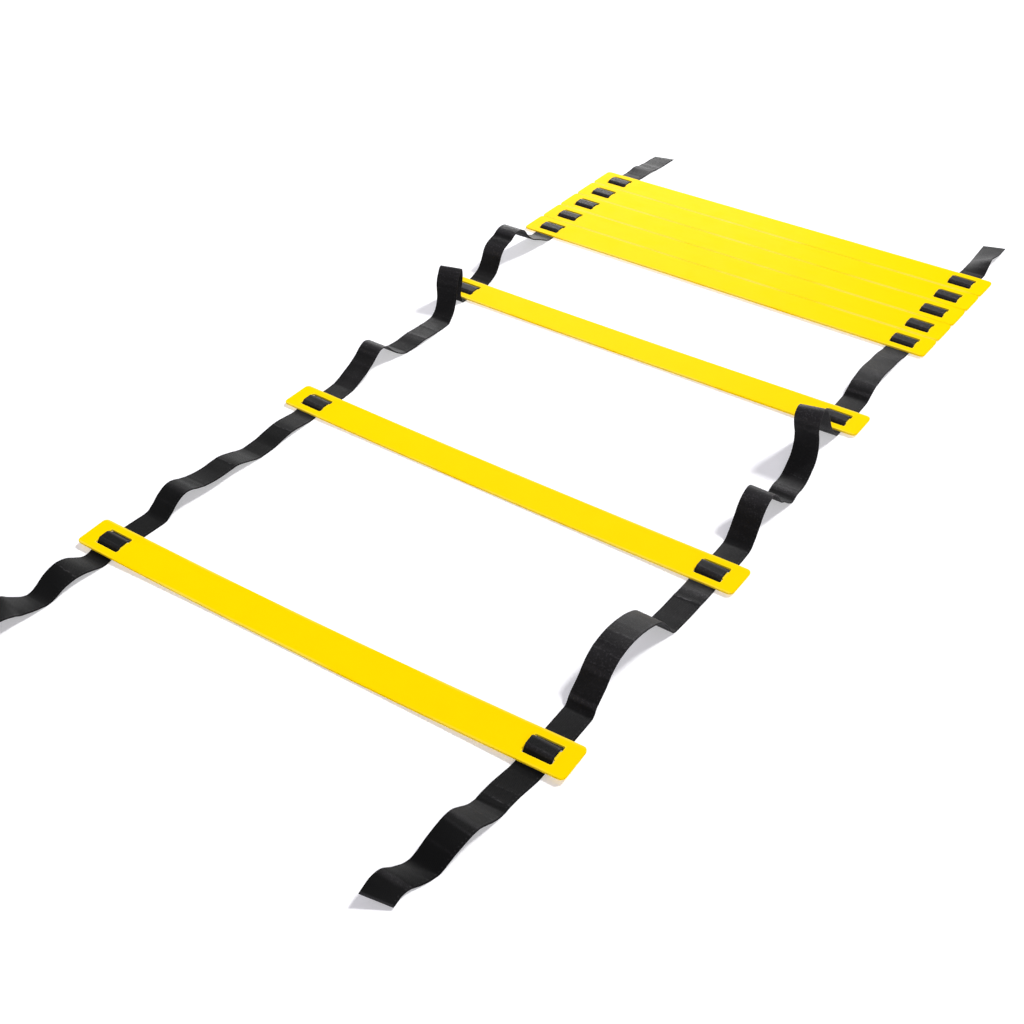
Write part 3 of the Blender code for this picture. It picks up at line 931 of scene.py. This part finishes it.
def curvePoint(rows, i, share):
    # Catmull-Rom through rows[i] and rows[i + 1]
    before = rows[max(i - 1, 0)]
    after = rows[min(i + 2, len(rows) - 1)]
    point = []
    for p, q, r, s in zip(before, rows[i], rows[i + 1], after):
        cubic = (3 * q - p - 3 * r + s) * share**3
        square = (2 * p - 5 * q + 4 * r - s) * share**2
        point.append(q + (cubic + square + (r - p) * share) / 2)
    return point


def smoothPairs(rows):
    # edge pairs from rows[1] to rows[-2], never below the ground
    pairs = []
    for i in range(1, len(rows) - 2):
        steps = max(1, math.ceil(math.dist(rows[i][:3], rows[i + 1][:3]) / webSettings["ringStep"]))
        for step in range(steps):
            point = curvePoint(rows, i, step / steps)
            left, right = Vector(point[:3]), Vector(point[3:])
            left.z = max(left.z, webRest)
            right.z = max(right.z, webRest)
            pairs.append([left, right])
    return pairs


def flatRow(pair):
    return [*pair[0], *pair[1]]


def routeOf(index, side, stretches, creases):
    # edge pairs of one piece of webbing, from one window's crest to the next
    # with the way along it, and where its creases lie and its cloth may waver
    shares, fold, loose = stretches.get(index, ((), 0, 0))
    opening, closing, rows = [], [], []
    if index > 0:
        start = groundPoint(rungs[index - 1], side, 1)
        opening = windowPath(rungs[index - 1], side, 1)
        rows = [flatRow(pair) for pair in opening[-2:]]
    if index < len(rungs):
        end = groundPoint(rungs[index], side, -1)
        closing = windowPath(rungs[index], side, -1)
    if index == 0:
        start = end - Vector((0, loose, 0))
    if index == len(rungs):
        end = start + Vector((0, loose, 0))
    rows += stretchRows(shares, fold, start, end)
    if index == 0:
        rows.insert(0, rows[0])
    if closing:
        rows += [flatRow(pair) for pair in closing[:2]]
    else:
        rows += [rows[-1], rows[-1]]
    pairs = opening[:-1] + smoothPairs(rows) + closing
    middles = [(left + right) / 2 for left, right in pairs]
    along = [0]
    for before, after in zip(middles, middles[1:]):
        along.append(along[-1] + (after - before).length)
    lines = []
    for run, slant, tone in creases.get(index, ()):
        y = start.lerp(end, run).y
        nearest = min(range(len(pairs)), key=lambda i: abs(middles[i].y - y))
        lines.append((along[nearest], slant, tone))
    clear = webSettings["waverClear"]
    first = along[len(opening)] if opening else -2 * clear
    last = along[-1 - len(closing)] if closing else along[-1] + 2 * clear
    loosened = [min(1, max(0, min(spot - first, last - spot) / clear - 1)) for spot in along]
    route = {"pairs": pairs, "along": along, "creases": lines, "loosened": loosened}
    route["start"] = start if index else middles[0]
    route["end"] = end
    return route


def crossSection():
    # (across, up) as shares of half the width and half the thickness, round the ribbon
    edge = webSettings["thickness"] / webSettings["width"]
    inner = 1 - edge
    right = [*webSettings["halfSection"], (inner, webSettings["beadRise"])]
    top = [(-u, v) for u, v in reversed(right[1:])] + right
    steps = webSettings["edgeSteps"]
    for step in range(1, steps + 1):
        angle = math.pi * (0.5 - step / (steps + 1))
        top.append((inner + edge * math.cos(angle), math.sin(angle) * webSettings["beadRise"]))
    return top + [(-u, -v) for u, v in top]


def turnAt(share):
    # where a smooth turn from 0 to 1 reaches this share
    low, high = 0, 1
    for _ in range(40):
        middle = (low + high) / 2
        if smoothStep(middle) < share:
            low = middle
        else:
            high = middle
    return low


def squarestRing(route, places, low, high):
    # the ring between two places whose edges lie most nearly side by side, sooner a low one
    best = None
    for i, (left, right) in enumerate(places):
        if low < (left + right) / 2 < high:
            lift = abs(route["pairs"][i][0].z + route["pairs"][i][1].z - 2 * webRest)
            skew = abs(left - right) + lift / webSettings["liftDivisor"]
            if best is None or skew < best[0]:
                best = (skew, i)
    return best[1]


def lengthsOf(route):
    # a stretch between two rungs gives way evenly over its length, so it is parted into three lengths
    start, end = route["start"], route["end"]
    reach = (end - start).length
    last = len(route["pairs"]) - 1
    if reach < webSettings["shortStretch"]:
        return [(0, last, start, end)]
    along = (end - start) / reach
    places = [[(edge - start).dot(along) / reach for edge in pair] for pair in route["pairs"]]
    near = squarestRing(route, places, *webSettings["nearCut"])
    far = squarestRing(route, places, *webSettings["farCut"])
    nearPlace, farPlace = sum(places[near]) / 2, sum(places[far]) / 2
    nearTurn, farTurn = turnAt(nearPlace), turnAt(farPlace)
    span = (farPlace - nearPlace) / (farTurn - nearTurn)
    spans = (
        (0, near, 0, nearPlace / nearTurn),
        (near, far, nearPlace - nearTurn * span, nearPlace + (1 - nearTurn) * span),
        (far, last, 1 - (1 - farPlace) / (1 - farTurn), 1),
    )
    return [(first, final, start.lerp(end, a), start + (end - start) * b) for first, final, a, b in spans]


def strayOf(route, i, u, side):
    # how far the cloth stands off its smooth path at one point: its creases and a slight waver
    stray = 0
    for middle, slant, tone in route["creases"]:
        gap = route["along"][i] - middle - slant * u * webHalf
        stray += webSettings["creaseRise"] * tone * math.exp(-(gap / webSettings["creaseSpread"]) ** 2)
    place = (route["started"] + route["along"][i]) * webSettings["waverScale"]
    spot = Vector((place, u * webSettings["waverAcross"], side * webSettings["waverSides"]))
    return (stray + webSettings["waver"] * noise.noise(spot)) * route["loosened"][i]


def crestBendOf(middles, ups, i):
    # how tightly the cloth is bent over at one place, 1 on a full crest, which is worn and gets a painted
    # highlight
    if i < 2 or i > len(middles) - 3:
        return 0
    before, after = middles[i] - middles[i - 2], middles[i + 2] - middles[i]
    turn = (after.normalized() - before.normalized()).dot(ups[i]) / ((before.length + after.length) / 2)
    return min(1, max(0, -turn / webSettings["crestBend"]))


def nearShadeOf(place, side):
    # painted shade: the cloth is darker towards the near end
    full, none = webSettings["nearShadeRight"] if side > 0 else webSettings["nearShadeLeft"]
    faded = min(1, max(0, (place - full) / (none - full)))
    return webSettings["nearShade"] * (1 - smoothStep(faded))


def ribbonMesh(name, route, side, first, last):
    # closed ribbon along the edge pairs from first to last, with a UV map in metres
    outline = crossSection()
    pairs = route["pairs"]
    bm = bmesh.new()
    uvLayer = bm.loops.layers.uv.new("webbingMap")
    wearLightLayer = bm.verts.layers.float.new("crestWearHighlightShade")
    middles = [(left + right) / 2 for left, right in pairs]
    acrosses, ups = [], []
    for i, (left, right) in enumerate(pairs):
        before, after = pairs[max(i - 1, 0)], pairs[min(i + 1, len(pairs) - 1)]
        forward = (after[0] + after[1] - before[0] - before[1]).normalized()
        acrosses.append((right - left).normalized())
        ups.append(acrosses[-1].cross(forward).normalized())
    rings = []
    for i in range(first, last + 1):
        middle = middles[i]
        # wear and painted highlight on crests, less the painted shade towards the near end
        wearAndLight = crestBendOf(middles, ups, i) - nearShadeOf(route["started"] + route["along"][i], side)
        isEnd = (i == 0 and route["endsHere"] < 0) or (i == len(pairs) - 1 and route["endsHere"] > 0)
        thick = webRest * (webSettings["fusedTaper"] if isEnd else 1)
        ring = []
        for u, v in outline:
            point = middle + acrosses[i] * (u * webHalf) + ups[i] * (v * thick + strayOf(route, i, u, side))
            point.z = max(point.z, 0)
            vert = bm.verts.new(point)
            vert[wearLightLayer] = wearAndLight
            ring.append(vert)
        rings.append(ring)
    count = len(outline)
    places = [route["started"] + spot for spot in route["along"][first:last + 1]]
    for i in range(len(rings) - 1):
        for j in range(count):
            k = (j + 1) % count
            face = bm.faces.new((rings[i][j], rings[i][k], rings[i + 1][k], rings[i + 1][j]))
            spots = ((j, i), (k, i), (k, i + 1), (j, i + 1))
            for loop, (column, row) in zip(face.loops, spots):
                loop[uvLayer].uv = ((outline[column][0] + 1) * webHalf, places[row])
    for ring, row in ((rings[0], 0), (rings[-1], len(rings) - 1)):
        face = bm.faces.new(ring)
        for loop, (u, v) in zip(face.loops, outline):
            loop[uvLayer].uv = ((u + 1) * webHalf, places[row])
    bmesh.ops.recalc_face_normals(bm, faces=bm.faces)
    mesh = bpy.data.meshes.new(name)
    bm.to_mesh(mesh)
    bm.free()
    mesh.shade_smooth()
    mesh.set_sharp_from_angle(angle=math.radians(webSettings["sharpAngle"]))
    piece = bpy.data.objects.new(name, mesh)
    scene.collection.objects.link(piece)
    return piece


clothSettings = {
    "color": (0.0016, 0.0016, 0.0018, 1),
    # lighter colour of wear, also of the painted highlight on crests
    "wearAndPaintedLight": (0.0215, 0.0205, 0.0215, 1),
    # painted highlight of the raised creases, also the colour of the selvedge flecks and of lint and painted
    # glints
    "crease": (0.062, 0.060, 0.062, 1),
    # painted shade along the sunk creases
    "creaseShade": (0.0015, 0.0015, 0.0015, 1),
    "fused": (0.020, 0.020, 0.021, 1),
    # how much of the lighter colour, for wear and painted light, each of these brings
    "yarnWear": 0.35,
    "fuzzWear": 0.30,
    "dustWear": 0.25,
    "speckWear": 0.6,
    "crestWearAndHighlight": 0.95,
    # and of the crease colour, which paints the highlights along the raised creases
    "selvedgeLight": 0.35,
    # lint and painted glints, more of them on the crests
    "lintAndGlint": 0.10,
    "foldLintAndGlint": 0.55,
    "roughness": 0.56,
    "fuzzRoughness": 0.2,
    "fusedRoughness": -0.25,
    "specular": 0.066,
    "sheen": 0.035,
    "sheenRoughness": 0.3,
    "bump": 0.55,
    "weaveDepth": 0.0002,
}


def makeWebbingMaterial(name, settings, weave, dust, creases):
    material, tree, output = newMaterial(name)
    cloth = placeGroup(tree, weave, (-900, 200))
    dirt = placeGroup(tree, dust, (-900, -200))
    lines = placeGroup(tree, creases, (-900, 500))
    crestAndShade = newNode(tree, "ShaderNodeAttribute", (-900, 700), attribute_name="crestWearHighlightShade").outputs["Fac"]
    wearAndPaintedLight = mathNode(tree, "MULTIPLY", (-600, 200), cloth.outputs["Yarn"], settings["yarnWear"])
    wearAndPaintedLight = addShare(tree, (-450, 200), cloth.outputs["Fuzz"], settings["fuzzWear"], wearAndPaintedLight)
    wearAndPaintedLight = addShare(tree, (-300, 100), dirt.outputs["Dust"], settings["dustWear"], wearAndPaintedLight)
    wearAndPaintedLight = addShare(tree, (-150, 100), dirt.outputs["Specks"], settings["speckWear"], wearAndPaintedLight, clamp=True)
    # painted highlight on the bent crests, besides their wear, and painted shade towards the near end
    wearAndPaintedLight = addShare(tree, (-150, 300), crestAndShade, settings["crestWearAndHighlight"], wearAndPaintedLight, clamp=True)
    color = mixColor(tree, (0, 200), wearAndPaintedLight, settings["color"], settings["wearAndPaintedLight"])
    # painted highlight along the raised creases
    lit = lines.outputs["Light"]
    lit = addShare(tree, (-300, 500), cloth.outputs["Selvedge"], settings["selvedgeLight"], lit, clamp=True)
    # lint and painted glints, more on the crests, fewer towards the near end
    lintAndGlint = addShare(tree, (-450, 700), crestAndShade, settings["foldLintAndGlint"], settings["lintAndGlint"])
    lit = addShare(tree, (-150, 600), lines.outputs["Speckle"], lintAndGlint, lit, clamp=True)
    color = mixColor(tree, (150, 250), lit, color, settings["crease"])
    # painted shade along the sunk creases
    color = mixColor(tree, (300, 300), lines.outputs["Shade"], color, settings["creaseShade"])
    color = mixColor(tree, (450, 350), lines.outputs["Fused"], color, settings["fused"])
    rough = addShare(tree, (0, -100), cloth.outputs["Fuzz"], settings["fuzzRoughness"], settings["roughness"])
    rough = addShare(tree, (150, -100), lines.outputs["Fused"], settings["fusedRoughness"], rough)
    addShader(tree, output, {
        "Base Color": color,
        "Roughness": rough,
        "Specular IOR Level": settings["specular"],
        "Sheen Weight": settings["sheen"],
        "Sheen Roughness": settings["sheenRoughness"],
        "Normal": bumpNode(tree, cloth.outputs["Height"], settings["bump"], settings["weaveDepth"]),
    })
    return material


def makeStrap(label, side, stretches, creases):
    routes, lines, travelled = [], [], 0
    for index in range(len(rungs) + 1):
        route = routeOf(index, side, stretches, creases)
        route["started"] = travelled
        route["endsHere"] = -1 if index == 0 else 1 if index == len(rungs) else 0
        lines += [(travelled + spot, slant, tone) for spot, slant, tone in route["creases"]]
        travelled += route["along"][-1]
        routes.append(route)
    group = makeCreaseGroup(label + "Creases", creaseSettings, lines, travelled)
    material = makeWebbingMaterial(label + "BlackWebbing", clothSettings, weaveGroup, dustGroup, group)
    for index, route in enumerate(routes):
        free = index in (0, len(rungs))
        spans = [(0, len(route["pairs"]) - 1, route["start"], route["end"])] if free else lengthsOf(route)
        for number, (first, last, start, end) in enumerate(spans):
            name = f"{label}Webbing{index}" + ("" if len(spans) == 1 else "abc"[number])
            piece = ribbonMesh(name, route, side, first, last)
            piece.data.materials.append(material)
            if index == len(rungs):
                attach(piece, rungs[-1]["node"])
            else:
                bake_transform(piece)
            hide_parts(f"{label}_strap")
    print(label, "webbing:", round(travelled, 3), "m")


grainGroup = makeGrainGroup(grainSettings)
planGroup = makeRungPlanGroup(planSettings)
weaveGroup = makeWeaveGroup(weaveSettings)
dustGroup = makeDustGroup(dustSettings)

for rung in rungs:
    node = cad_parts[rung["node"]]
    node.data.materials.clear()
    node.data.materials.append(makePlastic(rung, plasticSettings, planGroup, grainGroup, dustGroup))
print("rungs finished")

makeStrap("right", 1, rightStretches, rightCreases)
makeStrap("left", -1, leftStretches, leftCreases)
